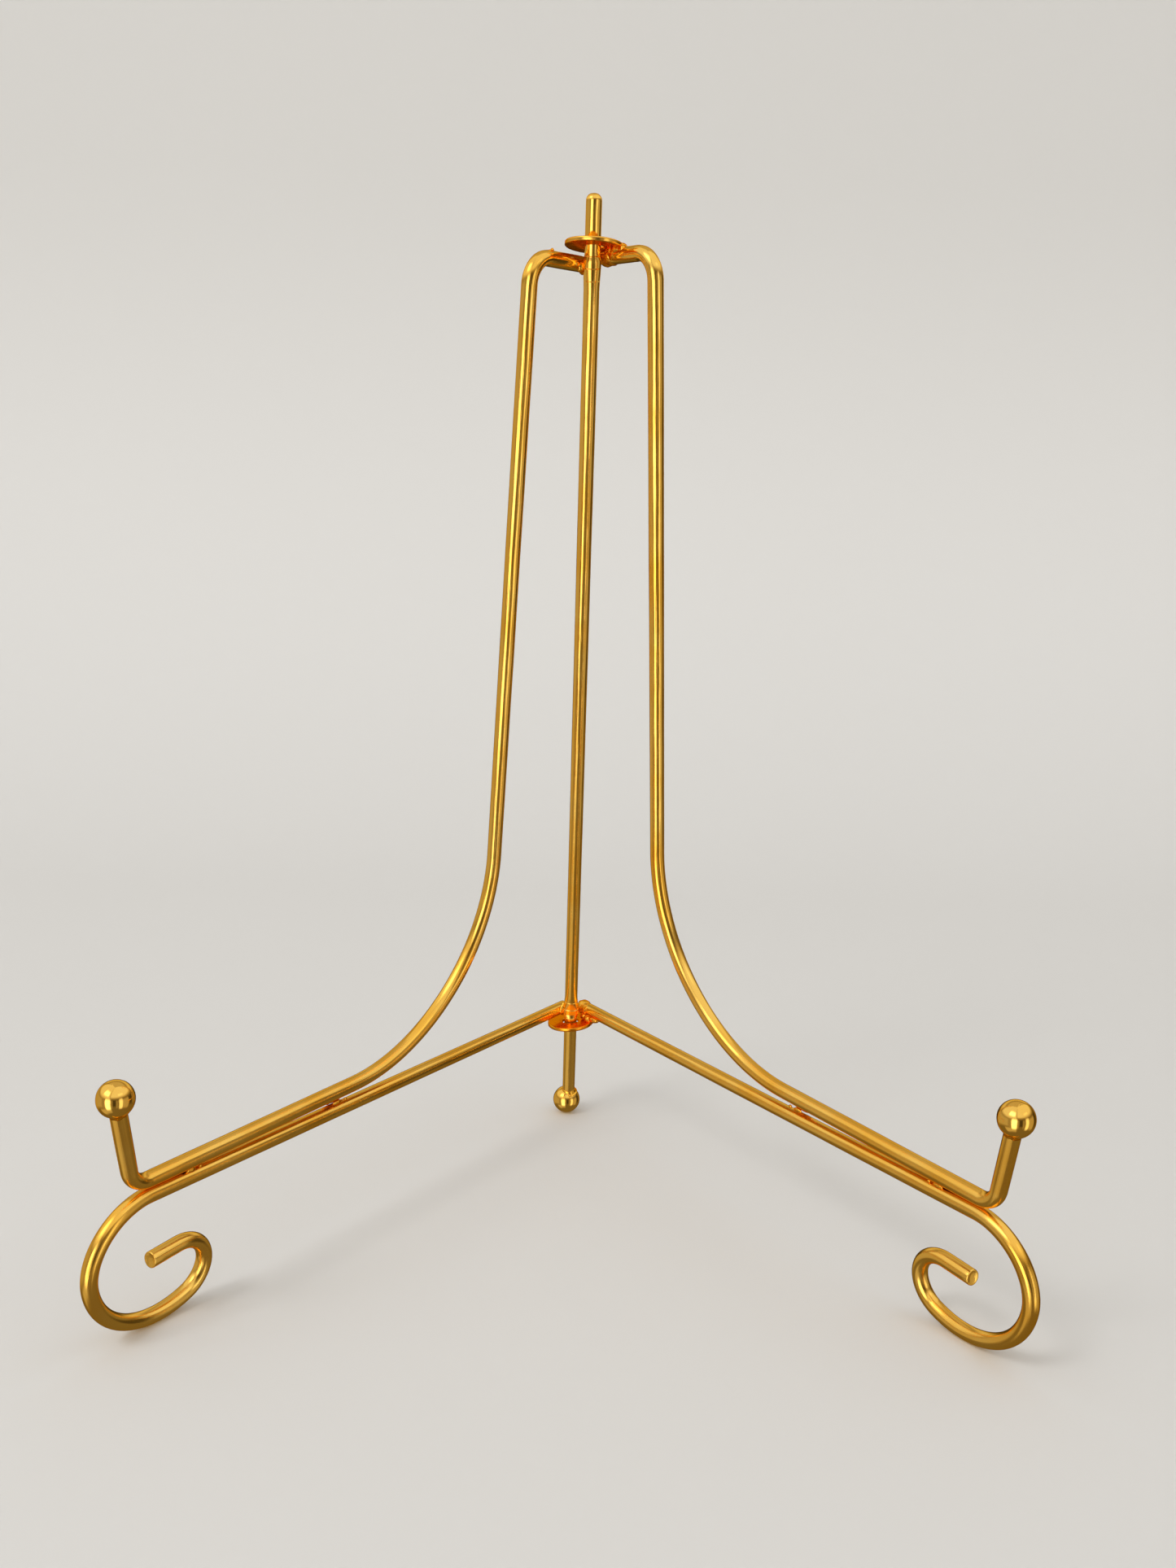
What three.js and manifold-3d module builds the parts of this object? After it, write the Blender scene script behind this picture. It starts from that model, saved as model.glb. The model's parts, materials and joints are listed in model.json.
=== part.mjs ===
// Folding wire display easel, in millimetres, +Z up, front towards -Y, standing on z = 0.
//
// A straight rear post leans forward over its ball foot. The left wing is welded to the post.
// The right wing turns about the post on two washers: one above the top pinch, one below the
// bottom pinch. Each wing is a front wire (short top arm, upright, flare, run, hook) and a
// scroll leg welded under it, and each hook ends in a ball.

import * as THREE from 'three';
import { mergeVertices } from 'three/addons/utils/BufferGeometryUtils.js';
import Module from 'manifold-3d';

// ---- Driving dimensions -------------------------------------------------------------------

const WIRE_R = 2;                // 4 mm wire throughout
const BALL_R = 4.25;             // hook balls
const FOOT_BALL_R = 4.4;
const FOOT_BALL_SHIFT = -0.6;    // the foot ball sits a little left of the post's line
const SOCKET_DEPTH = 2.5;        // how far a wire sinks into its ball
const GAP = 0.3;                 // gap kept between pieces that touch

const POST_TIP = 283;            // foot ball centre to post tip
const WING_ANGLE = 34.4;         // each wing's plane from straight ahead, degrees
const LEFT_OFFSET = 4.5;         // left wing plane to post axis: wire beside the post
const RIGHT_OFFSET = 5.1;        // right wing plane to post axis: wire clear of the post
const RIGHT_LIFT = 1.8;          // right wing sits this much higher on the post
const LEFT_START = -2.3;         // arms begin this far from abreast of the post, behind it
const RIGHT_START = -1.2;

// Wing outline. u runs out from the post axis, v runs up the post from the foot ball's centre.
const TOP_ARM = { v: 266.1, rise: 11.6, length: 13, bendR: 6 };
const UPRIGHT_HEADING = -84.8;   // degrees above the u direction, going down
const FLARE_R = 49.1;            // bend from the upright to the run
const RUN = { length: 69.1, drop: 1.3, above: 4.3 };
const HOOK = { bendR: 6, heading: 88.6, length: 21.4 };
const LEG = { v: 35.4, rise: 15.1, length: 167.5 };
const RIGHT_SAG = 1.2;           // the right leg starts this much lower and rises to its place
const SCROLL = [                 // clockwise arcs, radius and turn in degrees
  [15.2, 106.6],
  [22.1, 96.4],
  [7.8, 87.1],
  [8.7, 74.6],
];
const SCROLL_END = 8.4;          // straight tail of the scroll

// Pinched ears on the post keep the washers in place: square towards the washer, tapered away.
const EAR = { depth: 2.9, shoulder: 0.4, flat: 1.2, taper: 7 };

// Washers. shift is sideways on the post, tilt lifts the front edge and roll lifts the right
// edge, in degrees. Each has its ear on the post: how far along the post the ear begins, and
// how wide it is.
const WASHER = { outerR: 7.3, holeR: 2.65, thick: 1.1, edge: 0.2 };
const TOP_WASHER = { v: 271, shift: 0.35, tilt: 21, roll: -2, ear: -2, earWidth: 5 };
const BOTTOM_WASHER = { v: 32.1, shift: 0, tilt: 15, roll: 5, ear: 1.9, earWidth: 5.2 };

const SIDES = 12;                // facets around a wire
const BEND_STEP = 14;            // degrees of bend between stations

// ---- Small helpers ------------------------------------------------------------------------

const wasm = await Module();
wasm.setup();

const radians = THREE.MathUtils.degToRad;

function heading(degrees) {
  return new THREE.Vector2(Math.cos(radians(degrees)), Math.sin(radians(degrees)));
}

/** A closed three.js geometry as a manifold solid, placed by a matrix. */
function solidFrom(geometry, matrix = new THREE.Matrix4()) {
  const shape = geometry.clone().applyMatrix4(matrix);
  shape.deleteAttribute('normal');
  shape.deleteAttribute('uv');
  const merged = mergeVertices(shape, 1e-4);
  return new wasm.Manifold(new wasm.Mesh({
    numProp: 3,
    vertProperties: new Float32Array(merged.attributes.position.array),
    triVerts: new Uint32Array(merged.index.array),
  }));
}

/** The largest single body of a manifold solid, as a three.js geometry. */
function geometryFrom(solid) {
  const pieces = solid.decompose();
  pieces.sort((a, b) => b.volume() - a.volume());
  const mesh = pieces[0].getMesh();
  const geometry = new THREE.BufferGeometry();
  geometry.setAttribute('position', new THREE.BufferAttribute(mesh.vertProperties, 3));
  geometry.setIndex(new THREE.BufferAttribute(mesh.triVerts, 1));
  geometry.computeVertexNormals();
  return geometry;
}

/** A path through chosen stations: many in a bend, none along a straight. */
class WirePath extends THREE.Curve {
  constructor(start, startHeading) {
    super();
    this.heading = startHeading;
    this.points = [new THREE.Vector3(start.x, start.y, 0)];
    this.headings = [startHeading];
  }

  push(distance, direction, newHeading) {
    const step = heading(direction).multiplyScalar(distance);
    const last = this.points[this.points.length - 1];
    this.points.push(new THREE.Vector3(last.x + step.x, last.y + step.y, 0));
    this.headings.push(newHeading);
  }

  straight(length) {
    this.push(length, this.heading, this.heading);
    return this;
  }

  bend(radius, turn) {
    const count = Math.max(3, Math.ceil(Math.abs(turn) / BEND_STEP));
    const step = turn / count;
    const chord = 2 * radius * Math.sin(radians(Math.abs(step)) / 2);
    for (let i = 0; i < count; i += 1) {
      this.push(chord, this.heading + step / 2, this.heading + step);
      this.heading += step;
    }
    return this;
  }

  station(t) {
    return Math.round(t * (this.points.length - 1));
  }

  getPointAt(t, target = new THREE.Vector3()) {
    return target.copy(this.points[this.station(t)]);
  }

  getTangentAt(t, target = new THREE.Vector3()) {
    const direction = heading(this.headings[this.station(t)]);
    return target.set(direction.x, direction.y, 0);
  }

  get end() {
    return this.points[this.points.length - 1];
  }
}

/** A round wire of the given radius along a path. */
function wireAlong(path, radius = WIRE_R) {
  const section = new THREE.Shape();
  for (let i = 0; i < SIDES; i += 1) {
    const angle = (2 * Math.PI * (i + 0.5)) / SIDES;
    const place = [radius * Math.cos(angle), radius * Math.sin(angle)];
    if (i === 0) section.moveTo(...place);
    else section.lineTo(...place);
  }
  section.closePath();
  return new THREE.ExtrudeGeometry(section, {
    extrudePath: path,
    steps: path.points.length - 1,
    bevelEnabled: false,
  });
}

// ---- Wing outlines ------------------------------------------------------------------------

/** A path that begins on an arm, at the given distance along it from abreast of the post. */
function armPath({ v, rise }, start) {
  const from = heading(rise).multiplyScalar(start);
  return new WirePath(new THREE.Vector2(from.x, v + from.y), rise).straight(-start);
}

/** The scroll leg: a straight arm, then a scroll that curls down, in and round. */
function legPath(start, sag) {
  const skew = THREE.MathUtils.radToDeg(sag / LEG.length);
  const path = armPath({ v: LEG.v - sag, rise: LEG.rise + skew }, start);
  path.straight(LEG.length);
  for (const [radius, turn] of SCROLL) path.bend(radius, -turn);
  return path.straight(SCROLL_END);
}

/** The front wire from its top arm to the outer end of its run. */
function pathToRunEnd(start, uprightLength) {
  return armPath(TOP_ARM, start)
    .straight(TOP_ARM.length)
    .bend(TOP_ARM.bendR, UPRIGHT_HEADING - TOP_ARM.rise)
    .straight(uprightLength)
    .bend(FLARE_R, LEG.rise - RUN.drop - UPRIGHT_HEADING)
    .straight(RUN.length);
}

/** Height of the run's outer end above the leg's centreline, square to the leg. */
function runHeight(uprightLength) {
  const path = pathToRunEnd(-1, uprightLength);
  const normal = heading(LEG.rise + 90);
  return path.end.x * normal.x + (path.end.y - LEG.v) * normal.y;
}

// The upright is as long as it takes for the run to lie just above the leg.
const UPRIGHT = (runHeight(0) - RUN.above) / (runHeight(0) - runHeight(1));
const WIRE_IN_BALL = BALL_R - SOCKET_DEPTH + GAP;

/** The whole front wire, ending in the socket of its hook ball. */
function frontPath(start) {
  return pathToRunEnd(start, UPRIGHT)
    .bend(HOOK.bendR, HOOK.heading - LEG.rise + RUN.drop)
    .straight(HOOK.length - WIRE_IN_BALL);
}

// ---- Pieces -------------------------------------------------------------------------------

function goldMaterial(color, roughness) {
  return new THREE.MeshStandardMaterial({ color, roughness, metalness: 1 });
}

const GOLD = 0xd8a13a;
const DEEP_GOLD = 0xc98a24;

function piece(name, geometry, color = GOLD, roughness = 0.28) {
  const mesh = new THREE.Mesh(geometry, goldMaterial(color, roughness));
  mesh.name = name;
  return mesh;
}

/** A ball with a blind socket that opens along +Z, for a wire that is shift off its centre. */
function ballGeometry(radius, shift = 0) {
  const round = new THREE.SphereGeometry(radius, 24, 14).rotateX(Math.PI / 2);
  const socket = new THREE.CylinderGeometry(WIRE_R + GAP, WIRE_R + GAP, 2 * SOCKET_DEPTH, 20)
    .rotateX(Math.PI / 2)
    .translate(shift, 0, radius);
  return geometryFrom(solidFrom(round).subtract(solidFrom(socket)));
}

/** The weld collar round a wire where it enters a ball, along +Z from the ball's centre. */
function collarGeometry(radius) {
  const inner = WIRE_R + GAP;
  const outer = inner + 0.65;
  const low = Math.sqrt(radius ** 2 - inner ** 2) + GAP;
  const profile = [
    new THREE.Vector2(inner, low),
    new THREE.Vector2(outer, low),
    new THREE.Vector2(outer - 0.15, low + 0.5),
    new THREE.Vector2(inner + 0.1, low + 1.1),
    new THREE.Vector2(inner, low + 1.1),
    new THREE.Vector2(inner, low),
  ];
  return new THREE.LatheGeometry(profile, 20).rotateX(Math.PI / 2);
}

/** A flat washer round the Z axis, with a softened outer edge. */
function washerGeometry() {
  const { outerR, holeR, thick, edge } = WASHER;
  const half = thick / 2;
  const profile = [
    new THREE.Vector2(holeR, -half),
    new THREE.Vector2(outerR - edge, -half),
    new THREE.Vector2(outerR, -half + edge),
    new THREE.Vector2(outerR, half - edge),
    new THREE.Vector2(outerR - edge, half),
    new THREE.Vector2(holeR, half),
    new THREE.Vector2(holeR, -half),
  ];
  return new THREE.LatheGeometry(profile, 32).rotateX(Math.PI / 2);
}

/** Where a pinched ear starts at its washer, which way along the post it runs, its width. */
function earFor({ v, ear, earWidth }) {
  return { near: v + ear, way: Math.sign(ear), width: earWidth };
}

const EARS = [earFor(BOTTOM_WASHER), earFor(TOP_WASHER)];
const WIDEST_EAR = Math.max(...EARS.map((ear) => ear.width));
const EAR_FULL = EAR.shoulder + EAR.flat;
const EAR_STATIONS = [0, EAR.shoulder, EAR.shoulder + EAR.flat / 2, EAR_FULL];
for (let i = 1; i <= 5; i += 1) EAR_STATIONS.push(EAR_FULL + (EAR.taper * i) / 5);

/** The post's width and depth at height z: round, or pinched wide and thin at an ear. */
function postSection(z) {
  const section = { width: 2 * WIRE_R, depth: 2 * WIRE_R };
  for (const { near, way, width } of EARS) {
    const along = (z - near) * way;
    const rise = THREE.MathUtils.smoothstep(along, 0, EAR.shoulder);
    const fall = 1 - THREE.MathUtils.smoothstep(along, EAR_FULL, EAR_FULL + EAR.taper);
    section.width += rise * fall * (width - 2 * WIRE_R);
    section.depth += rise * fall * (EAR.depth - 2 * WIRE_R);
  }
  return section;
}

/** The post: a round rod with two pinched stretches and a domed tip. */
function postGeometry() {
  const dome = 1.7;
  const foot = FOOT_BALL_R - SOCKET_DEPTH + GAP;
  const heights = [foot];
  for (const { near, way } of EARS) {
    for (const along of EAR_STATIONS) heights.push(near + way * along);
  }
  heights.push(POST_TIP - dome);
  heights.sort((a, b) => a - b);
  const profile = heights.map((z) => new THREE.Vector2(WIRE_R, z));
  profile.unshift(new THREE.Vector2(0, foot));
  profile.push(new THREE.Vector2(WIRE_R * 0.8, POST_TIP - dome * 0.4));
  profile.push(new THREE.Vector2(WIRE_R * 0.4, POST_TIP - dome * 0.08));
  profile.push(new THREE.Vector2(0, POST_TIP));
  const geometry = new THREE.LatheGeometry(profile, 16).rotateX(Math.PI / 2);
  const place = geometry.attributes.position;
  for (let i = 0; i < place.count; i += 1) {
    const { width, depth } = postSection(place.getZ(i));
    place.setX(i, (place.getX(i) * width) / (2 * WIRE_R));
    place.setY(i, (place.getY(i) * depth) / (2 * WIRE_R));
  }
  return geometry;
}

// ---- Assembly in the post's own frame: Z up the post, origin at the foot ball's centre ------

const easel = new THREE.Group();

/** The group of one wing: X out from the post, Y up the post. side is -1 left, +1 right. */
function wingGroup(side) {
  const angle = radians(WING_ANGLE);
  const out = new THREE.Vector3(side * Math.sin(angle), -Math.cos(angle), 0);
  const upPost = new THREE.Vector3(0, 0, 1);
  const across = out.clone().cross(upPost);
  const group = new THREE.Group();
  group.quaternion.setFromRotationMatrix(new THREE.Matrix4().makeBasis(out, upPost, across));
  // Both wings lie on the outer side of the post, which is their far side from each other.
  group.position.copy(across).multiplyScalar(side < 0 ? LEFT_OFFSET : -RIGHT_OFFSET);
  group.position.z = side < 0 ? 0 : RIGHT_LIFT;
  group.updateMatrix();
  return group;
}

/** A weld bead: an ellipsoid that hugs the pieces it joins, in the frame of those pieces. */
function bead(name, centre, radii, turn, cutters) {
  const ball = new THREE.IcosahedronGeometry(1, 3);
  const place = new THREE.Matrix4().compose(centre, turn, radii);
  let solid = solidFrom(ball, place);
  for (const cutter of cutters) solid = solid.subtract(cutter);
  return piece(name, geometryFrom(solid), DEEP_GOLD, 0.4);
}

const BEAD_GAP = 0.15;

function buildWing(side, name, start, sag, notch) {
  const group = wingGroup(side);
  const front = frontPath(start);
  const leg = legPath(start, sag);
  let frontGeometry = wireAlong(front);
  if (notch) {
    const inWing = solidFrom(notch, group.matrix.clone().invert());
    frontGeometry = geometryFrom(solidFrom(frontGeometry).subtract(inWing));
  }
  group.add(piece(`${name}_front_wire`, frontGeometry));
  group.add(piece(`${name}_scroll_leg`, wireAlong(leg)));

  const hookUp = heading(HOOK.heading);
  const stem = new THREE.Vector3(hookUp.x, hookUp.y, 0);
  const towardsWire = new THREE.Quaternion().setFromUnitVectors(
    new THREE.Vector3(0, 0, 1),
    stem.clone().negate(),
  );
  for (const [part, geometry] of [
    ['hook_ball', ballGeometry(BALL_R)],
    ['hook_ball_weld', collarGeometry(BALL_R)],
  ]) {
    const mesh = piece(`${name}_${part}`, geometry);
    mesh.position.copy(front.end).addScaledVector(stem, WIRE_IN_BALL);
    mesh.quaternion.copy(towardsWire);
    group.add(mesh);
  }

  // Two beads in the groove between the run and the leg, on the side away from the front.
  const cutters = [
    solidFrom(wireAlong(front, WIRE_R + BEAD_GAP)),
    solidFrom(wireAlong(leg, WIRE_R + BEAD_GAP)),
  ];
  const along = new THREE.Quaternion().setFromAxisAngle(
    new THREE.Vector3(0, 0, 1),
    radians(LEG.rise - RUN.drop / 2),
  );
  for (const [part, distance, height] of [
    ['inner_seam_weld', LEG.length - 62, 2.85],
    ['outer_seam_weld', LEG.length - 12, 2.2],
  ]) {
    const spot = heading(LEG.rise).multiplyScalar(distance);
    const normal = heading(LEG.rise + 90).multiplyScalar(height);
    group.add(bead(
      `${name}_${part}`,
      new THREE.Vector3(spot.x + normal.x, LEG.v + spot.y + normal.y, -side * 1.3),
      new THREE.Vector3(3.6, 1.7, 1.1),
      along,
      cutters,
    ));
  }
  return { group, cutters: cutters.map((cutter) => cutter.transform(group.matrix.elements)) };
}

function placeWasher(name, { v, shift, tilt, roll }) {
  const mesh = piece(name, washerGeometry());
  mesh.position.set(shift, 0, v);
  mesh.rotation.set(-radians(tilt), -radians(roll), 0);
  mesh.updateMatrix();
  easel.add(mesh);
  return mesh;
}

/** A washer without its hole and grown by a gap, for cutting what it touches. */
function grownWasher(mesh, gap) {
  const radius = WASHER.outerR + gap;
  const disc = new THREE.CylinderGeometry(radius, radius, WASHER.thick + 2 * gap, 32);
  return disc.rotateX(Math.PI / 2).applyMatrix4(mesh.matrix);
}

const topWasher = placeWasher('top_washer', TOP_WASHER);
const bottomWasher = placeWasher('bottom_washer', BOTTOM_WASHER);
const left = buildWing(-1, 'left', LEFT_START, 0);
const right = buildWing(1, 'right', RIGHT_START, RIGHT_SAG, grownWasher(topWasher, GAP));
const footBall = piece('foot_ball', ballGeometry(FOOT_BALL_R, -FOOT_BALL_SHIFT));
footBall.position.x = FOOT_BALL_SHIFT;
easel.add(
  piece('back_post', postGeometry()),
  footBall,
  piece('foot_ball_weld', collarGeometry(FOOT_BALL_R)),
  left.group,
  right.group,
);

/** A round keep-out along the post, wide enough for the ears and a gap round them. */
function postCutter(gap) {
  const radius = WIDEST_EAR / 2 + gap;
  return solidFrom(
    new THREE.CylinderGeometry(radius, radius, 2 * POST_TIP, 32).rotateX(Math.PI / 2),
  );
}

/** Each weld on the post: name, wing, place in the wing (u, v, n), radii, washer if any. */
const postWelds = [
  ['left_top_arm_weld', left, [1.2, TOP_ARM.v - 0.9, -1.7], [2.3, 2.1, 2.2]],
  ['left_lower_arm_weld', left, [1.4, LEG.v + 1.9, -1.7], [2.2, 2.2, 2]],
  ['top_washer_weld', right, [3.6, TOP_ARM.v + 2.2, 0.4], [3.4, 2.6, 2.4], topWasher],
  ['bottom_washer_weld', right, [4.6, LEG.v - 3, 0], [2.8, 2.2, 2.2], bottomWasher],
];
for (const [name, wing, place, radii, washer] of postWelds) {
  const around = washer ? [solidFrom(grownWasher(washer, BEAD_GAP))] : [];
  easel.add(bead(
    name,
    new THREE.Vector3(...place).applyMatrix4(wing.group.matrix),
    new THREE.Vector3(...radii),
    new THREE.Quaternion(),
    [...wing.cutters, ...around, postCutter(wing === left ? BEAD_GAP : 2 * GAP)],
  ));
}

// ---- Standing: the foot ball and both scrolls rest on z = 0 -------------------------------

function vertices(name) {
  easel.updateMatrixWorld(true);
  const mesh = easel.getObjectByName(name);
  const place = mesh.geometry.attributes.position;
  const list = [];
  for (let i = 0; i < place.count; i += 1) {
    list.push(new THREE.Vector3().fromBufferAttribute(place, i).applyMatrix4(mesh.matrixWorld));
  }
  return list;
}

function lowest(list, up) {
  return list.reduce((best, point) => (point.dot(up) < best.dot(up) ? point : best));
}

const feet = ['foot_ball', 'left_scroll_leg', 'right_scroll_leg'].map(vertices);
const up = new THREE.Vector3(0, 0.3, 1).normalize();
for (let i = 0; i < 12; i += 1) {
  const [back, leftFoot, rightFoot] = feet.map((list) => lowest(list, up));
  up.crossVectors(leftFoot.clone().sub(back), rightFoot.clone().sub(back)).normalize();
}

easel.quaternion.setFromUnitVectors(up, new THREE.Vector3(0, 0, 1));
const box = new THREE.Box3().setFromObject(easel, true);
easel.position.set(-(box.min.x + box.max.x) / 2, -(box.min.y + box.max.y) / 2, -box.min.z);

const part = new THREE.Group();
part.add(easel);
export default part;
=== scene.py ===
"""Wire display easel: the looks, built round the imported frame.

Lengths are in millimetres until a mesh is placed, and metres in the scene.
"""
import json
import math

import bmesh
import bpy
import numpy as np
from mathutils import Matrix, Vector, noise


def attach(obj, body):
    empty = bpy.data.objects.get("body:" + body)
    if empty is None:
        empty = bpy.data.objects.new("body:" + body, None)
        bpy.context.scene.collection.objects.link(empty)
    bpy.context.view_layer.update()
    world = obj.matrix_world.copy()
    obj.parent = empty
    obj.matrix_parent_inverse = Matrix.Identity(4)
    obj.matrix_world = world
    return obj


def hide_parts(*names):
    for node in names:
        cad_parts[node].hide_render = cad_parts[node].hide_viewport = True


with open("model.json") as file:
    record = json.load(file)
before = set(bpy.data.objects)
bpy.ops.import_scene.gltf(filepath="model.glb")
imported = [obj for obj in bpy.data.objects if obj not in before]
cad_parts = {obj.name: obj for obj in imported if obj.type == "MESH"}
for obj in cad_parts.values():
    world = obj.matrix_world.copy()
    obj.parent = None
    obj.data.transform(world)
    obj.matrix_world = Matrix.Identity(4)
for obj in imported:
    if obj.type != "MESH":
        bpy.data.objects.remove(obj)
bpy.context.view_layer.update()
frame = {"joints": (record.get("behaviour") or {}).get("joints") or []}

MM = 0.001
FIXED_BODY = "post_and_left_wing"
TURNING_BODY = "right_wing"

# ---- Driving dimensions ----------------------------------------------------------------------
# They are the part's, but for slimmer and softer ears and a slightly longer dome on the post.

WIRE_R = 2.0
BALL_R = 4.25
FOOT_BALL_R = 4.4
FOOT_BALL_SHIFT = -0.6  # the foot ball sits a little left of the post's line
WIRE_IN_BALL = 2.0  # a hook's wire ends this far short of its ball's centre
POST_FOOT = 1.5  # where the post ends inside the foot ball
POST_TIP = 283.0
POST_DOME = dict(height=1.8, rows=12, power=0.8)  # a power under 1 makes it full
NECK = dict(foot=2.85, inner=1.2, rise=1.3, depth=1.0, sink=0.12, clear=0.02, rows=6)
WING_ANGLE = 34.4  # each wing's plane from straight ahead, degrees
TOP_ARM = dict(v=266.1, rise=11.6, length=13.0, bend=6.0)
UPRIGHT_HEADING = -84.8
FLARE_R = 49.1
RUN = dict(length=69.1, drop=1.3, above=4.3)
HOOK = dict(bend=6.0, heading=88.6, length=21.4)
LEG = dict(v=35.4, rise=15.1, length=167.5)
SCROLL = ((15.2, 106.6), (22.1, 96.4), (7.8, 87.1), (8.7, 74.6))  # radius, turn in degrees
SCROLL_END = 8.4
SEAMS = (  # name, distance back from the leg's outer end, height over the leg, half length
    ("inner_seam_weld", 62.0, 2.85, 4.2),
    ("outer_seam_weld", 12.0, 2.2, 3.8),
)
EAR = dict(shoulder=2.0, taper=7.0)  # the post widens over the shoulder and narrows over the taper
WASHER = dict(outer=7.3, hole=2.65, thick=1.1)
WASHER_EDGES = dict(sharp=0.12, rolled=0.32, hole_sharp=0.1, hole_rolled=0.25, hole_corner=0.07)
TOP_WASHER = dict(
    v=271.0, shift=0.35, tilt=21.0, roll=-2.0, ear=-2.0, ear_width=4.5, ear_depth=3.4
)
BOTTOM_WASHER = dict(
    v=32.1, shift=0.0, tilt=15.0, roll=5.0, ear=1.9, ear_width=5.1, ear_depth=2.9
)

WINGS = {
    "left": dict(side=-1, offset=4.5, lift=0.0, start=-2.3, sag=0.0, body=FIXED_BODY, seed=4.0),
    "right": dict(side=1, offset=5.1, lift=1.8, start=-1.2, sag=1.2, body=TURNING_BODY, seed=18.0),
}

# ---- Resolution ------------------------------------------------------------------------------

SIDES = 48  # facets round a wire
STRAIGHT_STEP = 3.0
BEND_STEP = 2.5  # degrees
EAR_STEP = 0.2
EAR_LEAD = 0.3  # the close rows start this far before an ear
EAR_ROWS = 48
BALL_ROWS = 40
BALL_SEGMENTS = 64
WASHER_SEGMENTS = 96
WELD_VOXEL = 0.13

# ---- The post's own frame: Z up the post from the foot ball's centre -------------------------

hinge = frame["joints"][0]
post_axis = Vector(hinge["axis"]).normalized()
lean = Vector((0, 0, 1)).rotation_difference(post_axis).to_matrix().to_4x4()
POST_FRAME = Matrix.Translation(hinge["pos_m"]) @ lean @ Matrix.Scale(MM, 4)


def wing_matrix(wing):
    """From a wing's own frame (X out, Y up the post, Z across) to the scene."""
    angle = math.radians(WING_ANGLE)
    out = Vector((wing["side"] * math.sin(angle), -math.cos(angle), 0))
    up = Vector((0, 0, 1))
    across = out.cross(up)
    turn = Matrix((out, up, across)).transposed().to_4x4()
    place = across * (-wing["side"] * wing["offset"]) + up * wing["lift"]
    return POST_FRAME @ Matrix.Translation(place) @ turn


# ---- Materials -------------------------------------------------------------------------------


def node(tree, kind, **inputs):
    """A shader node with some of its sockets set, by name."""
    made = tree.nodes.new(kind)
    for key, value in inputs.items():
        made.inputs[key.replace("_", " ")].default_value = value
    return made


def noise_from(tree, source, stretch, scale, detail):
    """Noise over a vector that has been stretched along each axis."""
    mapping = node(tree, "ShaderNodeMapping", Scale=stretch)
    tree.links.new(source, mapping.inputs["Vector"])
    texture = node(tree, "ShaderNodeTexNoise", Scale=scale, Detail=detail)
    tree.links.new(mapping.outputs["Vector"], texture.inputs["Vector"])
    return texture.outputs["Fac"]


def ranged(tree, value, low, high, to_low, to_high):
    """Map Range from low..high to to_low..to_high."""
    made = node(tree, "ShaderNodeMapRange")
    numbers = {"From Min": low, "From Max": high, "To Min": to_low, "To Max": to_high}
    for key, number in numbers.items():
        made.inputs[key].default_value = number
    tree.links.new(value, made.inputs["Value"])
    return made.outputs["Result"]


def math_node(tree, operation, *values):
    """A maths node over numbers and sockets."""
    made = tree.nodes.new("ShaderNodeMath")
    made.operation = operation
    for socket, value in zip(made.inputs, values):
        if isinstance(value, (int, float)):
            socket.default_value = value
        else:
            tree.links.new(value, socket)
    return made.outputs["Value"]


def attribute_node(tree, name):
    """A node that reads a point attribute of the mesh."""
    made = tree.nodes.new("ShaderNodeAttribute")
    made.attribute_name = name
    return made


# The plating's unevenness: noise per metre, except the draw lines, which are per millimetre.
EVEN = (1, 1, 1)
COLOUR_DRIFT = dict(stretch=EVEN, scale=70.0, detail=4.0)
LUMPS = dict(stretch=EVEN, scale=260.0, detail=2.0)
GRAIN = dict(stretch=EVEN, scale=900.0, detail=3.0)
DRAW_LINES = dict(stretch=(1, 1, 0.02), scale=2.2, detail=3.0)
DRIFT_SPAN = (0.4, 0.72)  # the noise levels over which the colour goes from bright to deep
ROUGHNESS_SPAN = (0.3, 0.7)
SATIN_ROUGHNESS = 0.09  # added where the wire is satin
LINE_DEPTH = 0.00006
LUMP_DEPTH = 0.00025
GRAIN_DEPTH = 0.00005
GRAIN_STRENGTH = 0.10


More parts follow.
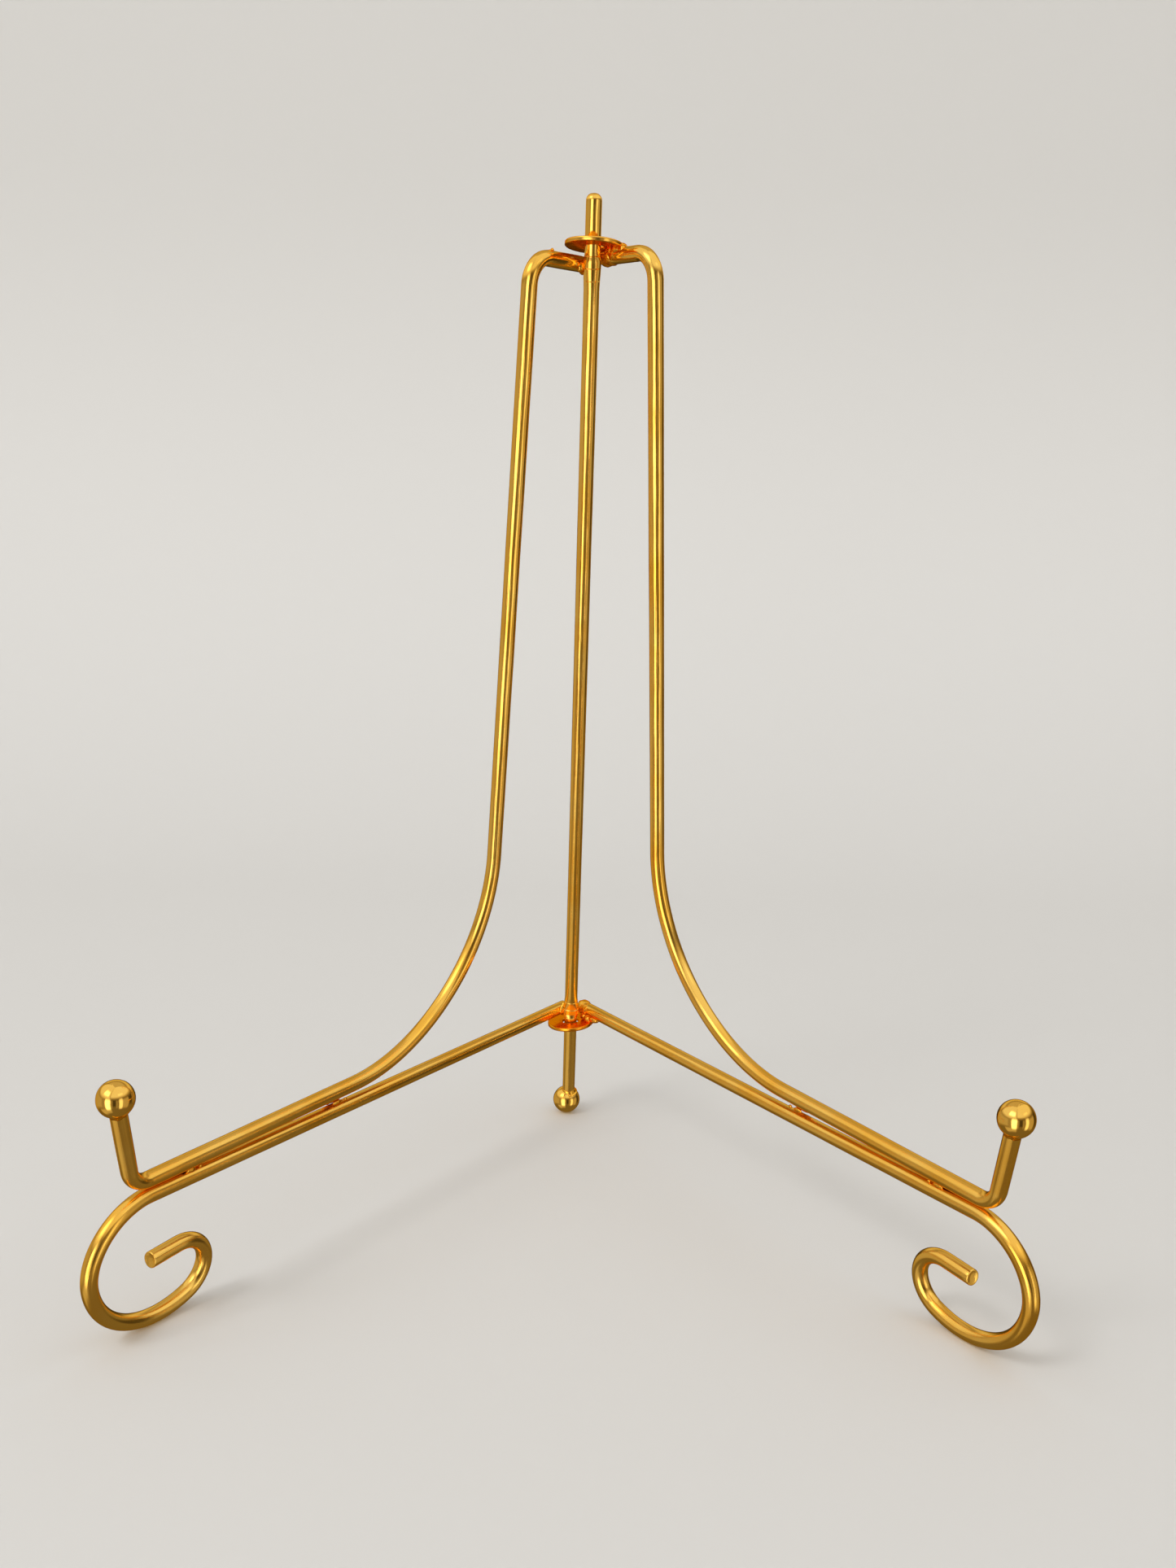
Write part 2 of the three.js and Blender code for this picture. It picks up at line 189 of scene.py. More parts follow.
def gold(name, bright, deep, roughness, edge, lumps, streak=0.0):
    """Gold plating that wanders between two colours, with draw lines and unevenness.

    edge is its tint where it is seen at a low angle. With a streak, the mesh has two point
    attributes: "draw", a place on the wire in millimetres, and "satin", from 0 bright to 1 dull.
    """
    material = bpy.data.materials.new(name)
    material.use_nodes = True
    tree = material.node_tree
    shader = tree.nodes["Principled BSDF"]
    shader.inputs["Metallic"].default_value = 1.0
    shader.inputs["Specular Tint"].default_value = (*edge, 1)
    place = tree.nodes.new("ShaderNodeTexCoord").outputs["Object"]

    mix = tree.nodes.new("ShaderNodeMix")
    mix.data_type = "RGBA"
    mix.inputs["A"].default_value = (*bright, 1)
    mix.inputs["B"].default_value = (*deep, 1)
    drift = ranged(tree, noise_from(tree, place, **COLOUR_DRIFT), *DRIFT_SPAN, 0.0, 1.0)
    tree.links.new(drift, mix.inputs["Factor"])
    tree.links.new(mix.outputs["Result"], shader.inputs["Base Color"])

    lump = noise_from(tree, place, **LUMPS)
    grain = noise_from(tree, place, **GRAIN)
    bumps = [(lump, lumps, LUMP_DEPTH), (grain, GRAIN_STRENGTH, GRAIN_DEPTH)]
    if streak:
        lines = noise_from(tree, attribute_node(tree, "draw").outputs["Vector"], **DRAW_LINES)
        bumps.insert(0, (lines, streak, LINE_DEPTH))
        shine = ranged(tree, lines, *ROUGHNESS_SPAN, *roughness)
        satin = attribute_node(tree, "satin").outputs["Fac"]
        rough = math_node(tree, "MULTIPLY_ADD", satin, SATIN_ROUGHNESS, shine)
    else:
        rough = ranged(tree, grain, *ROUGHNESS_SPAN, *roughness)
    tree.links.new(rough, shader.inputs["Roughness"])

    normal = shader.inputs["Normal"]
    for height, strength, distance in reversed(bumps):
        bump = node(tree, "ShaderNodeBump", Strength=strength, Distance=distance)
        tree.links.new(height, bump.inputs["Height"])
        tree.links.new(bump.outputs["Normal"], normal)
        normal = bump.inputs["Normal"]
    return material


BRIGHT_GOLD = (1.0, 0.60, 0.12)
WARM_GOLD = (0.98, 0.51, 0.06)
ORANGE_GOLD = (0.97, 0.43, 0.04)
# Painted reflection: the bottom washer's orange stands in for the gold wires and welds it mirrors,
# not for heat tint.
PAINTED_REFLECTION_GOLD = (1.0, 0.44, 0.03)
DEEP_PAINTED_REFLECTION_GOLD = (1.0, 0.34, 0.02)

GOLD_EDGE = (1.0, 0.78, 0.42)
ORANGE_EDGE = (1.0, 0.38, 0.05)
# Edge tint of the bottom washer's painted-reflection orange.
PAINTED_REFLECTION_EDGE = (1.0, 0.26, 0.02)

WIRE_GOLD = gold(
    "wire_plating", BRIGHT_GOLD, WARM_GOLD, (0.09, 0.16), GOLD_EDGE, lumps=0.08, streak=0.9
)
BALL_GOLD = gold("ball_plating", BRIGHT_GOLD, WARM_GOLD, (0.08, 0.14), GOLD_EDGE, lumps=0.10)
WASHER_GOLD = gold(
    "washer_plating", BRIGHT_GOLD, ORANGE_GOLD, (0.16, 0.28), ORANGE_EDGE, lumps=0.12
)
# The bottom washer's plating, painted orange as a reflection of the gold round it.
PAINTED_REFLECTION_WASHER_GOLD = gold(
    "painted_reflection_washer_plating", PAINTED_REFLECTION_GOLD, DEEP_PAINTED_REFLECTION_GOLD, (0.20, 0.32), PAINTED_REFLECTION_EDGE, lumps=0.12
)
# The welds' warm gold is their own; the orange deep tone mixed in is a painted reflection of the
# gold wires and balls round them.
WELD_GOLD = gold("weld_plating", WARM_GOLD, ORANGE_GOLD, (0.14, 0.24), ORANGE_EDGE, lumps=0.14)

# ---- Mesh building ---------------------------------------------------------------------------


def mesh_object(name, vertices, faces, matrix, material, smooth=None):
    """An object from vertices in local millimetres, placed by matrix."""
    mesh = bpy.data.meshes.new(name)
    mesh.from_pydata([tuple(v) for v in vertices], [], faces)
    mesh.transform(matrix)
    mesh.materials.append(material)
    flags = smooth if smooth is not None else [True] * len(mesh.polygons)
    mesh.polygons.foreach_set("use_smooth", flags)
    mesh.validate()
    made = bpy.data.objects.new(name, mesh)
    bpy.context.scene.collection.objects.link(made)
    return made


def finish_piece(made, cad_node, body):
    """Hides the CAD node that a piece stands for, and ties the piece to its body."""
    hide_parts(cad_node)
    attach(made, body)


def skin_rings(rings, capped=True):
    """Quads between rings of equal size and, if capped, a fan over each end."""
    count = len(rings[0])
    vertices = [v for ring in rings for v in ring]
    faces = []
    smooth = []
    for i in range(len(rings) - 1):
        for j in range(count):
            k = (j + 1) % count
            a, b = i * count, (i + 1) * count
            faces.append((a + j, a + k, b + k, b + j))
            smooth.append(True)
    ends = ((0, -1), (len(rings) - 1, 1)) if capped else ()
    for ring_at, order in ends:
        centre = len(vertices)
        vertices.append(sum((Vector(v) for v in rings[ring_at]), Vector()) / count)
        for j in range(count):
            pair = (ring_at * count + j, ring_at * count + (j + 1) % count)
            faces.append((*pair[::order], centre))
            smooth.append(False)
    return vertices, faces, smooth


def ramp(value, low, high):
    """0 up to low, 1 from high, and a smooth rise between."""
    share = min(1.0, max(0.0, (value - low) / (high - low)))
    return share * share * (3 - 2 * share)


def set_attribute(mesh, name, kind, values):
    """Adds a point attribute of the given kind, one value or vector for each vertex."""
    attribute = mesh.attributes.new(name, kind, "POINT")
    field = "vector" if kind == "FLOAT_VECTOR" else "value"
    attribute.data.foreach_set(field, np.asarray(values, float).ravel())


class WirePath:
    """Stations along a bent wire in its plane: u, v, heading, length so far, curvature.

    straight and bend carry the path on and return it, so that calls can be chained.
    """

    def __init__(self, u, v, heading):
        self.heading = heading
        self.stations = [(u, v, heading, 0.0, 0.0)]

    def step(self, length, direction, heading, curvature):
        u, v, _, along, _ = self.stations[-1]
        angle = math.radians(direction)
        u += length * math.cos(angle)
        v += length * math.sin(angle)
        self.stations.append((u, v, heading, along + length, curvature))

    def straight(self, length):
        count = max(2, math.ceil(length / STRAIGHT_STEP))
        for _ in range(count):
            self.step(length / count, self.heading, self.heading, 0.0)
        return self

    def bend(self, radius, turn):
        count = math.ceil(abs(turn) / BEND_STEP)
        part = turn / count
        chord = 2 * radius * math.sin(math.radians(abs(part)) / 2)
        for _ in range(count):
            self.step(chord, self.heading + part / 2, self.heading + part, 1 / radius)
            self.heading += part
        return self

    @property
    def end(self):
        return Vector((self.stations[-1][0], self.stations[-1][1], 0))


# A sheared wire end: radius and depth of each ring, from its dished middle out over the rim.
CUT_END = ((0.5, 0.28), (1.1, 0.22), (1.55, 0.08), (1.78, 0.0), (1.92, 0.09), (1.99, 0.3))
CUT_SLANT = -0.12
SWELL = 0.025  # how much a drawn wire's radius wanders
SWELL_AROUND = 0.6
SWELL_LENGTH = 14.0
SQUASH_PER_CURVATURE = 0.35  # a wire flattens a little in a bend
MOST_SQUASH = 0.07
SMOOTHING_PASSES = 3


def swell(angle, along, offset):
    """The small wander of a drawn wire's radius at an angle round it and a place along it."""
    x = SWELL_AROUND * math.cos(angle) + offset[0]
    y = SWELL_AROUND * math.sin(angle) + offset[1]
    return SWELL * noise.noise(Vector((x, y, along / SWELL_LENGTH)))


def smoothed(values):
    """A row of numbers with each one drawn towards its neighbours."""
    for _ in range(SMOOTHING_PASSES):
        padded = np.pad(values, 1, mode="edge")
        values = (padded[:-2] + padded[1:-1] + padded[2:]) / 3
    return values


def wire(name, path, matrix, seed, satin):
    """A drawn wire along a path. satin(share of the length) is 0 for bright, 1 for satin."""
    rings, draw, dull = [], [], []
    stations = path.stations
    total = stations[-1][3]
    tightness = smoothed(np.array([station[4] for station in stations]))

    def ring(station, radius, shift, squash, slant=0.0):
        u, v, heading, along, _ = station
        angle = math.radians(heading)
        ahead = Vector((math.cos(angle), math.sin(angle), 0))
        left = Vector((-math.sin(angle), math.cos(angle), 0))
        across = Vector((0, 0, 1))
        centre = Vector((u, v, 0)) + ahead * shift
        circle = []
        for j in range(SIDES):
            a = 2 * math.pi * j / SIDES
            r = radius + swell(a, along, (seed, 0.0))
            side, depth = r * math.cos(a), r * math.sin(a)
            spot = centre + ahead * (slant * side)
            spot += left * (side * (1 - squash)) + across * (depth * (1 + 0.5 * squash))
            circle.append(spot)
            draw.append((math.cos(a) * radius, math.sin(a) * radius, along))
            dull.append(satin(along / total))
        rings.append(circle)

    for radius, shift in CUT_END:
        ring(stations[0], radius, shift, 0.0, CUT_SLANT)
    for i, station in enumerate(stations[1:-1], start=1):
        ring(station, WIRE_R, 0.0, min(MOST_SQUASH, tightness[i] * SQUASH_PER_CURVATURE))
    for radius, shift in reversed(CUT_END):
        ring(stations[-1], radius, -shift, 0.0, CUT_SLANT)
    vertices, faces, smooth = skin_rings(rings)
    made = mesh_object(name, vertices, faces, matrix, WIRE_GOLD, smooth)
    draw += [(0, 0, 0), (0, 0, total)]
    dull += [satin(0.0), satin(1.0)]
    set_attribute(made.data, "draw", "FLOAT_VECTOR", draw)
    set_attribute(made.data, "satin", "FLOAT", dull)
    return made


WOBBLE_AROUND = 1.4
WOBBLE_ALONG = 0.4
WOBBLE_UP = 0.6  # the share of the wobble that goes up and down
ON_AXIS = 0.01
SAME_PLACE = 1e-7  # metres


def lathe(name, profile, matrix, material, segments, wobble, seed):
    """Turns a closed or axis-to-axis profile of (radius, height) round Z, out of true by wobble."""
    rings = []
    for radius, height in profile:
        circle = []
        for j in range(segments):
            a = 2 * math.pi * j / segments
            x = math.cos(a) * WOBBLE_AROUND + seed
            y = math.sin(a) * WOBBLE_AROUND
            wave = wobble * noise.noise(Vector((x, y, height * WOBBLE_ALONG)))
            r = radius + (wave if radius > ON_AXIS else 0.0)
            circle.append(Vector((r * math.cos(a), r * math.sin(a), height + WOBBLE_UP * wave)))
        rings.append(circle)
    vertices, faces, _ = skin_rings(rings, capped=False)
    if profile[0][0] >= ON_AXIS:
        last = (len(rings) - 1) * segments
        for j in range(segments):
            k = (j + 1) % segments
            faces.append((last + j, last + k, k, j))
    made = mesh_object(name, vertices, faces, matrix, material)
    work = bmesh.new()
    work.from_mesh(made.data)
    bmesh.ops.remove_doubles(work, verts=work.verts, dist=SAME_PLACE)
    bmesh.ops.recalc_face_normals(work, faces=work.faces)
    work.to_mesh(made.data)
    work.free()
    return made


BEAD_WAVE = 0.9  # per millimetre
BEAD_RIPPLE = 2.4
SOFTEN = dict(factor=0.5, iterations=6)


def bead(name, lumps, matrix, seed, rough):
    """A weld bead: ellipsoids (centre, radii, turn about Z in degrees) run together."""
    work = bmesh.new()
    for centre, radii, turn in lumps:
        place = (
            Matrix.Translation(centre)
            @ Matrix.Rotation(math.radians(turn), 4, "Z")
            @ Matrix.Diagonal((*radii, 1))
        )
        bmesh.ops.create_icosphere(work, subdivisions=3, radius=1.0, matrix=place)
    raw = bpy.data.meshes.new(name)
    work.to_mesh(raw)
    work.free()
    made = bpy.data.objects.new(name, raw)
    bpy.context.scene.collection.objects.link(made)
    remesh = made.modifiers.new("join", "REMESH")
    remesh.mode = "VOXEL"
    remesh.voxel_size = WELD_VOXEL
    soften = made.modifiers.new("soften", "SMOOTH")
    soften.factor = SOFTEN["factor"]
    soften.iterations = SOFTEN["iterations"]
    depsgraph = bpy.context.evaluated_depsgraph_get()
    mesh = bpy.data.meshes.new_from_object(made.evaluated_get(depsgraph))
    made.modifiers.clear()
    made.data = mesh
    for vertex in mesh.vertices:
        wave = noise.noise(vertex.co * BEAD_WAVE + Vector((seed, 0, 0)))
        ripple = noise.noise(vertex.co * BEAD_RIPPLE + Vector((0, seed, 0)))
        vertex.co += vertex.normal * rough * (wave + 0.5 * ripple)
    mesh.transform(matrix)
    mesh.materials.clear()
    mesh.materials.append(WELD_GOLD)
    mesh.polygons.foreach_set("use_smooth", [True] * len(mesh.polygons))
    return made


# ---- Wing outlines ---------------------------------------------------------------------------


def arm_path(arm, start):
    """From an arm's cut end, past the post's line (start is below 0), to that line."""
    angle = math.radians(arm["rise"])
    path = WirePath(start * math.cos(angle), arm["v"] + start * math.sin(angle), arm["rise"])
    return path.straight(-start)


def leg_path(start, sag):
    """The scroll leg. It starts lower by sag and rises to its place over its length."""
    arm = dict(v=LEG["v"] - sag, rise=LEG["rise"] + math.degrees(sag / LEG["length"]))
    path = arm_path(arm, start).straight(LEG["length"])
    for radius, turn in SCROLL:
        path.bend(radius, -turn)
    return path.straight(SCROLL_END)


def path_to_run_end(start, upright):
    """The front wire as far as its hook, with an upright of the given length."""
    return (
        arm_path(TOP_ARM, start)
        .straight(TOP_ARM["length"])
        .bend(TOP_ARM["bend"], UPRIGHT_HEADING - TOP_ARM["rise"])
        .straight(upright)
        .bend(FLARE_R, LEG["rise"] - RUN["drop"] - UPRIGHT_HEADING)
        .straight(RUN["length"])
    )


def run_height(upright):
    """How far the outer end of the run lies above the leg, square to the leg."""
    end = path_to_run_end(-1.0, upright).end
    angle = math.radians(LEG["rise"] + 90)
    return end.x * math.cos(angle) + (end.y - LEG["v"]) * math.sin(angle)


UPRIGHT = (run_height(0.0) - RUN["above"]) / (run_height(0.0) - run_height(1.0))


def front_path(start):
    """The whole front wire, up to just short of its ball's centre."""
    return (
        path_to_run_end(start, UPRIGHT)
        .bend(HOOK["bend"], HOOK["heading"] - LEG["rise"] + RUN["drop"])
        .straight(HOOK["length"] - WIRE_IN_BALL)
    )


# ---- Wings -----------------------------------------------------------------------------------

BALL_WOBBLE = 0.03
NECK_WOBBLE = 0.12
SEAM_ROUGH = 0.10
FRONT_SATIN = (0.55, 0.8)  # the shares of its length over which a front wire turns satin
LEG_SATIN = 0.75
# Lumps of a seam weld besides its long one: place from the seam's middle, and radii. Z is positive
# on the side of the wing that faces the post's line.
SEAM_LUMPS = (
    ((-1.5, -0.4, -1.7), (1.8, 1.2, 0.8)),
    ((1.7, 0.4, -1.6), (1.7, 1.3, 0.8)),
    ((0.6, 0.1, 0.7), (1.6, 0.7, 0.5)),
    ((-2.2, -0.6, 0.8), (0.6, 0.5, 0.4)),
)


def ball_profile(radius):
    """Half a circle from the foot of a ball to its top."""
    angles = [math.pi * i / BALL_ROWS for i in range(BALL_ROWS + 1)]
    return [(radius * math.sin(a), -radius * math.cos(a)) for a in angles]


def neck_profile(radius):
    """A small concave fillet from the ball up to the wire, closed inside the wire."""
    foot, rise = NECK["foot"], NECK["rise"]
    low = math.sqrt(radius**2 - foot**2)
    reach = WIRE_R + NECK["clear"] - foot
    profile = [(NECK["inner"], low - NECK["depth"]), (foot, low - NECK["sink"])]
    for i in range(NECK["rows"] + 1):
        turn = math.pi / 2 * i / NECK["rows"]
        profile.append((foot + reach * math.sin(turn), low + rise * (1 - math.cos(turn))))
    profile.append((NECK["inner"], low + rise))
    return profile


def ball_and_neck(prefix, matrix, body, seed, radius=BALL_R, shift=0.0):
    """A ball, shift to the side of its wire, and the neck round that wire."""
    centre = matrix @ Matrix.Translation((shift, 0, 0))
    profile = ball_profile(radius)
    ball = lathe(f"fine_{prefix}", profile, centre, BALL_GOLD, BALL_SEGMENTS, BALL_WOBBLE, seed)
    finish_piece(ball, prefix, body)
    name, profile = f"{prefix}_weld", neck_profile(radius)
    neck = lathe(f"fine_{name}", profile, matrix, WELD_GOLD, BALL_SEGMENTS, NECK_WOBBLE, seed + 3)
    finish_piece(neck, name, body)


def build_seam(name, wing, matrix, seam):
    """A seam weld between a wing's run and its leg."""
    part, back, height, half_length = seam
    rise = math.radians(LEG["rise"])
    distance = LEG["length"] - back
    u = distance * math.cos(rise) - height * math.sin(rise)
    v = LEG["v"] + distance * math.sin(rise) + height * math.cos(rise)
    lumps = [
        ((u + x, v + y, wing["side"] * z), radii, LEG["rise"])
        for (x, y, z), radii in (((0.0, 0.0, -1.5), (half_length, 1.3, 0.8)), *SEAM_LUMPS)
    ]
    made = bead(f"fine_{name}_{part}", lumps, matrix, wing["seed"], SEAM_ROUGH)
    finish_piece(made, f"{name}_{part}", wing["body"])


def build_wing(name, wing):
    """A wing's two wires, ball and seam welds. Returns the wing's frame."""
    matrix = wing_matrix(wing)
    body, seed = wing["body"], wing["seed"]

    path = front_path(wing["start"])
    front = wire(
        f"fine_{name}_front_wire", path, matrix, seed, lambda share: ramp(share, *FRONT_SATIN)
    )
    finish_piece(front, f"{name}_front_wire", body)

    path_down = leg_path(wing["start"], wing["sag"])
    leg = wire(f"fine_{name}_scroll_leg", path_down, matrix, seed + 20, lambda share: LEG_SATIN)
    finish_piece(leg, f"{name}_scroll_leg", body)

    angle = math.radians(HOOK["heading"])
    stem = Vector((math.cos(angle), math.sin(angle), 0))
    ball_centre = path.end + stem * WIRE_IN_BALL
    turn = Vector((0, 0, 1)).rotation_difference(-stem).to_matrix().to_4x4()
    ball_and_neck(f"{name}_hook_ball", matrix @ Matrix.Translation(ball_centre) @ turn, body, seed)

    for seam in SEAMS:
        build_seam(name, wing, matrix, seam)
    return matrix


wing_frames = {name: build_wing(name, wing) for name, wing in WINGS.items()}

# ---- Post ------------------------------------------------------------------------------------

POST_SATIN = (30.0, 60.0)  # the heights over which the post turns from satin to bright
POST_SEED = 40.0
FOOT_BALL_SEED = 30.0


def post_section(z):
    """The post's width and depth at height z: round, or pinched wide and thin at an ear."""
    width = depth = 2 * WIRE_R
    shoulder, taper = EAR["shoulder"], EAR["taper"]
    for washer in (TOP_WASHER, BOTTOM_WASHER):
        along = (z - washer["v"] - washer["ear"]) * math.copysign(1, washer["ear"])
        amount = ramp(along, 0, shoulder) * (1 - ramp(along, shoulder, shoulder + taper))
        width += amount * (washer["ear_width"] - 2 * WIRE_R)
        depth += amount * (washer["ear_depth"] - 2 * WIRE_R)
    return width, depth


def post_rows():
    """Height and radius of each ring of the post: the shank, close rows at the ears, the dome."""
    heights = list(np.arange(POST_FOOT, POST_TIP - WIRE_R, STRAIGHT_STEP))
    for washer in (TOP_WASHER, BOTTOM_WASHER):
        near = washer["v"] + washer["ear"]
        way = math.copysign(1, washer["ear"])
        heights += [near + way * (i * EAR_STEP - EAR_LEAD) for i in range(EAR_ROWS)]
    rows = [(z, WIRE_R) for z in sorted(heights)]
    dome = POST_DOME["height"]
    for i in range(1, POST_DOME["rows"] + 1):
        angle = math.pi / 2 * i / POST_DOME["rows"]
        radius = WIRE_R * math.cos(angle) ** POST_DOME["power"]
        rows.append((POST_TIP - dome + dome * math.sin(angle), radius))
    return rows


def build_post():
    """The post with its ears and dome, and the foot ball with its neck."""
    rings, draw = [], []
    for z, radius in post_rows():
        width, depth = post_section(z)
        circle = []
        for j in range(SIDES):
            a = 2 * math.pi * j / SIDES
            r = radius + swell(a, z, (0.0, POST_SEED))
            x = r * math.cos(a) * width / (2 * WIRE_R)
            y = r * math.sin(a) * depth / (2 * WIRE_R)
            circle.append(Vector((x, y, z)))
            draw.append((WIRE_R * math.cos(a), WIRE_R * math.sin(a), z))
        rings.append(circle)
    vertices, faces, _ = skin_rings(rings)
    post = mesh_object("fine_back_post", vertices, faces, POST_FRAME, WIRE_GOLD)
    draw += [(0, 0, 0), (0, 0, POST_TIP)]
    set_attribute(post.data, "draw", "FLOAT_VECTOR", draw)
    set_attribute(post.data, "satin", "FLOAT", [1 - ramp(z, *POST_SATIN) for _, _, z in draw])
    finish_piece(post, "back_post", FIXED_BODY)
    ball_and_neck("foot_ball", POST_FRAME, FIXED_BODY, FOOT_BALL_SEED, FOOT_BALL_R, FOOT_BALL_SHIFT)


build_post()

# ---- Washers ---------------------------------------------------------------------------------

WASHER_STEPS = 8
WASHER_WOBBLE = 0.05
LOWER_MARGIN = 0.3  # the part of the lower face, next to its edges, that has no rows


def washer_profile():
    """Stamped washer: rolled upper edges, sharper lower edges, closed loop round the hole."""
    outer, hole, half = WASHER["outer"], WASHER["hole"], WASHER["thick"] / 2
    sharp, roll = WASHER_EDGES["sharp"], WASHER_EDGES["rolled"]
    inner_sharp, inner_roll = WASHER_EDGES["hole_sharp"], WASHER_EDGES["hole_rolled"]
    corner = WASHER_EDGES["hole_corner"]

    lower = outer - hole - LOWER_MARGIN
    profile = [(hole, -half + inner_sharp)]
    for i in range(WASHER_STEPS):
        profile.append((hole + inner_sharp + lower * i / WASHER_STEPS, -half))
    profile += [(outer - sharp, -half), (outer, -half + sharp), (outer, half - roll)]
    for degrees in (22, 45, 68, 90):
        a = math.radians(degrees)
        profile.append((outer - roll * (1 - math.cos(a)), half - roll * (1 - math.sin(a))))
    upper = outer - roll - hole - inner_roll
    for i in range(1, WASHER_STEPS):
        profile.append((outer - roll - upper * i / WASHER_STEPS, half))
    profile.append((hole + inner_roll, half))
    profile += [(hole + corner, half - corner), (hole, half - inner_roll)]
    return profile


def build_washer(cad_node, washer, material, seed):
    """A washer round the post, tilted to the front and rolled to the side."""
    tilt = Matrix.Rotation(-math.radians(washer["tilt"]), 4, "X")
    roll = Matrix.Rotation(-math.radians(washer["roll"]), 4, "Y")
    place = Matrix.Translation((washer["shift"], 0, washer["v"]))
    matrix = POST_FRAME @ place @ (tilt @ roll)
    profile = washer_profile()
    name = f"fine_{cad_node}"
    made = lathe(name, profile, matrix, material, WASHER_SEGMENTS, WASHER_WOBBLE, seed)
    finish_piece(made, cad_node, TURNING_BODY)


build_washer("top_washer", TOP_WASHER, WASHER_GOLD, 5.0)
# The bottom washer takes the orange plating that paints in its reflection of the gold round it.
build_washer("bottom_washer", BOTTOM_WASHER, PAINTED_REFLECTION_WASHER_GOLD, 8.0)

# ---- Welds at the post -----------------------------------------------------------------------

RIGHT_LEG_V = LEG["v"] - WINGS["right"]["sag"]
# Each weld's node, its wing, and its lumps in that wing's frame: centre, radii, turn in degrees.
ARM_WELDS = (
    (
        "left_top_arm_weld",
        "left",
        (
            ((1.0, TOP_ARM["v"] - 0.5, -2.1), (1.5, 1.5, 0.9), 10),
            ((0.5, TOP_ARM["v"] - 1.3, -2.1), (1.2, 1.2, 0.8), 0),
            ((2.8, TOP_ARM["v"] + 0.4, -1.9), (1.0, 0.8, 0.45), 12),
            ((11.4, TOP_ARM["v"] + 4.35, -0.4), (0.4, 0.6, 0.4), 0),
            ((12.5, TOP_ARM["v"] + 4.35, -0.6), (0.9, 0.35, 0.5), 0),
        ),
    ),
    (
        "left_lower_arm_weld",
        "left",
        (
            ((1.2, LEG["v"] + 1.4, -2.1), (1.6, 1.9, 0.9), 10),
            ((0.8, LEG["v"] + 0.3, -2.2), (1.3, 1.3, 0.8), 0),
            ((0.8, LEG["v"] + 2.6, -2.3), (1.1, 1.3, 0.7), 0),
        ),
    ),
    (
        "top_washer_weld",
        "right",
        (
            ((4.4, TOP_ARM["v"] + 2.4, 0.2), (2.7, 1.7, 1.9), 12),
            ((2.0, TOP_ARM["v"] + 1.9, 0.8), (1.7, 1.6, 1.4), 8),
            ((6.6, TOP_ARM["v"] + 2.6, 0.6), (1.4, 1.1, 1.2), 12),
            ((-0.7, TOP_ARM["v"] - 0.15, 0.0), (2.0, 2.5, 2.4), 12),
            ((1.6, TOP_ARM["v"] + 0.4, 0.1), (2.2, 2.4, 2.3), 12),
            ((3.6, TOP_ARM["v"] + 0.9, 1.0), (2.2, 1.4, 1.2), 12),
        ),
    ),
    (
        "bottom_washer_weld",
        "right",
        (
            ((4.2, RIGHT_LEG_V - 1.7, 0.6), (2.8, 1.4, 1.8), 10),
            ((2.0, RIGHT_LEG_V - 1.9, 0.9), (1.9, 1.5, 1.5), 4),
            ((6.6, RIGHT_LEG_V - 0.5, 0.4), (2.4, 1.2, 1.5), 15),
            ((0.3, RIGHT_LEG_V + 0.1, 0.0), (2.7, 2.4, 2.4), 12),
            ((2.8, RIGHT_LEG_V + 0.9, 0.3), (2.2, 2.0, 2.0), 15),
        ),
    ),
)
ARM_ROUGH = 0.14
FIRST_WELD_SEED = 50.0
WELD_SEED_STEP = 9

for i, (name, wing_name, lumps) in enumerate(ARM_WELDS):
    seed = FIRST_WELD_SEED + WELD_SEED_STEP * i
    made = bead(f"fine_{name}", lumps, wing_frames[wing_name], seed, ARM_ROUGH)
    finish_piece(made, name, WINGS[wing_name]["body"])

# ---- Stage: pale floor that sweeps up into a wall, soft lights, camera -----------------------

PAPER = dict(colour=(0.72, 0.71, 0.69), roughness=0.7)
SWEEP = dict(half_width=3.0, front=-2.0, back=0.9, radius=0.5, top=2.6, rows=16)


def plain(name, colour, roughness):
    """A material of one colour."""
    material = bpy.data.materials.new(name)
    material.use_nodes = True
    shader = material.node_tree.nodes["Principled BSDF"]
    shader.inputs["Base Color"].default_value = (*colour, 1)
    shader.inputs["Roughness"].default_value = roughness
    return material


def build_sweep():
    """Floor, a wide curve and a wall, as one sheet."""
    half_width, back, radius = SWEEP["half_width"], SWEEP["back"], SWEEP["radius"]
    outline = [(SWEEP["front"], 0.0), (back - radius, 0.0)]
    for i in range(1, SWEEP["rows"] + 1):
        angle = math.pi / 2 * i / SWEEP["rows"]
        outline.append((back - radius + radius * math.sin(angle), radius * (1 - math.cos(angle))))
    outline.append((back, SWEEP["top"]))
    vertices = [(x, y, z) for y, z in outline for x in (-half_width, half_width)]
    faces = [(2 * i, 2 * i + 1, 2 * i + 3, 2 * i + 2) for i in range(len(outline) - 1)]
    paper = plain("pale_paper", **PAPER)
    sweep = mesh_object("floor_sweep", vertices, faces, Matrix.Identity(4), paper)
    sweep.visible_glossy = False
    sweep.visible_shadow = False


